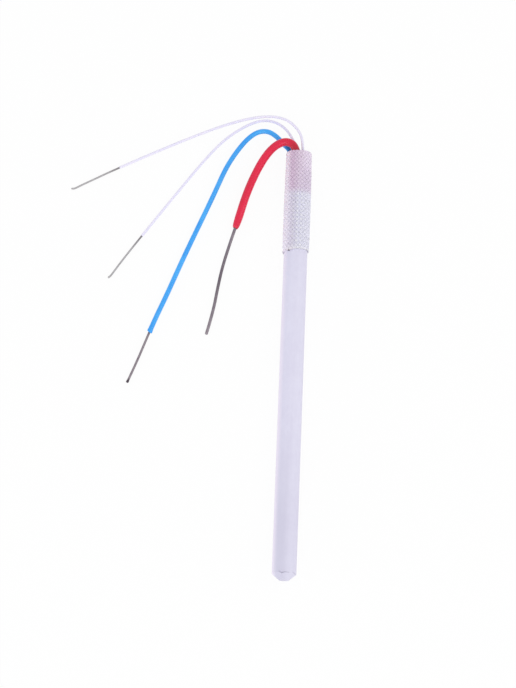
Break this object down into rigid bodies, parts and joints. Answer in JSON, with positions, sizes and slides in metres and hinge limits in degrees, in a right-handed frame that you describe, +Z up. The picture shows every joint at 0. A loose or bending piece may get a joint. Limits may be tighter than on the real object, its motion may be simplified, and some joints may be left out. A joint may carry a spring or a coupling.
{
  "type": "soldering iron heating element",
  "caption": "Round ceramic heating rod with a chamfered tip, a braided sleeve over its rear end, and insulated leads that leave the sleeve and end in bare wire.",
  "frame": {"origin": "on the surface that the part lies on, below the middle of the length from the rod's tip to the sleeve's mouth", "axes": "+Y along the rod from its tip towards the sleeve's mouth, +Z up, and the leads turn towards -X"},
  "size_m": [0.0392, 0.0768, 0.0043],
  "materials": {
    "alumina": "fired matt, faintly lilac white",
    "tungsten": "dark fired print",
    "plated_pad": "satin nickel plating",
    "braze": "smooth solidified braze",
    "lead_wire": "drawn nickel, slightly dull",
    "red_insulation": "satin red",
    "blue_insulation": "satin light blue",
    "clear_insulation": "milky translucent",
    "glass_braid": "woven glass fibre, matt, translucent"
  },
  "bodies": {
    "root": {"ceramic_core": "alumina", "ceramic_sheet": "alumina", "heater_track": "tungsten", "sensor_track": "tungsten", "red_lead_pad": "plated_pad", "red_lead_braze": "braze", "red_lead_wire": "lead_wire", "red_lead_insulation": "red_insulation", "blue_lead_pad": "plated_pad", "blue_lead_braze": "braze", "blue_lead_wire": "lead_wire", "blue_lead_insulation": "blue_insulation", "upper_white_lead_pad": "plated_pad", "upper_white_lead_braze": "braze", "upper_white_lead_wire": "lead_wire", "upper_white_lead_insulation": "clear_insulation", "lower_white_lead_pad": "plated_pad", "lower_white_lead_braze": "braze", "lower_white_lead_wire": "lead_wire", "lower_white_lead_insulation": "clear_insulation", "braided_sleeve": "glass_braid"}
  },
  "joints": []
}
